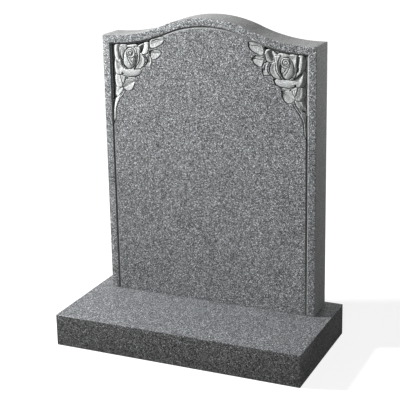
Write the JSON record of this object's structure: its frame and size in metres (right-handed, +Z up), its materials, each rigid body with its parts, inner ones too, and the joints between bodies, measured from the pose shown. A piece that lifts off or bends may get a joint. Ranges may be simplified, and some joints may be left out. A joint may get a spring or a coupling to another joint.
{
  "type": "upright headstone",
  "caption": "Upright grey granite headstone with an ogee top, a cut border line and a rose carved in each upper corner, standing on a plain rectangular base.",
  "frame": {"origin": "middle of the base's underside", "axes": "+Z up, +X to the right of someone facing the carved face, +Y away from that person, so the carved face looks towards -Y"},
  "size_m": [0.6096, 0.3048, 0.7623],
  "materials": {
    "base_granite": "polished",
    "headstone_granite": "polished"
  },
  "bodies": {
    "root": {"base": "base_granite", "headstone": "headstone_granite"}
  },
  "joints": []
}
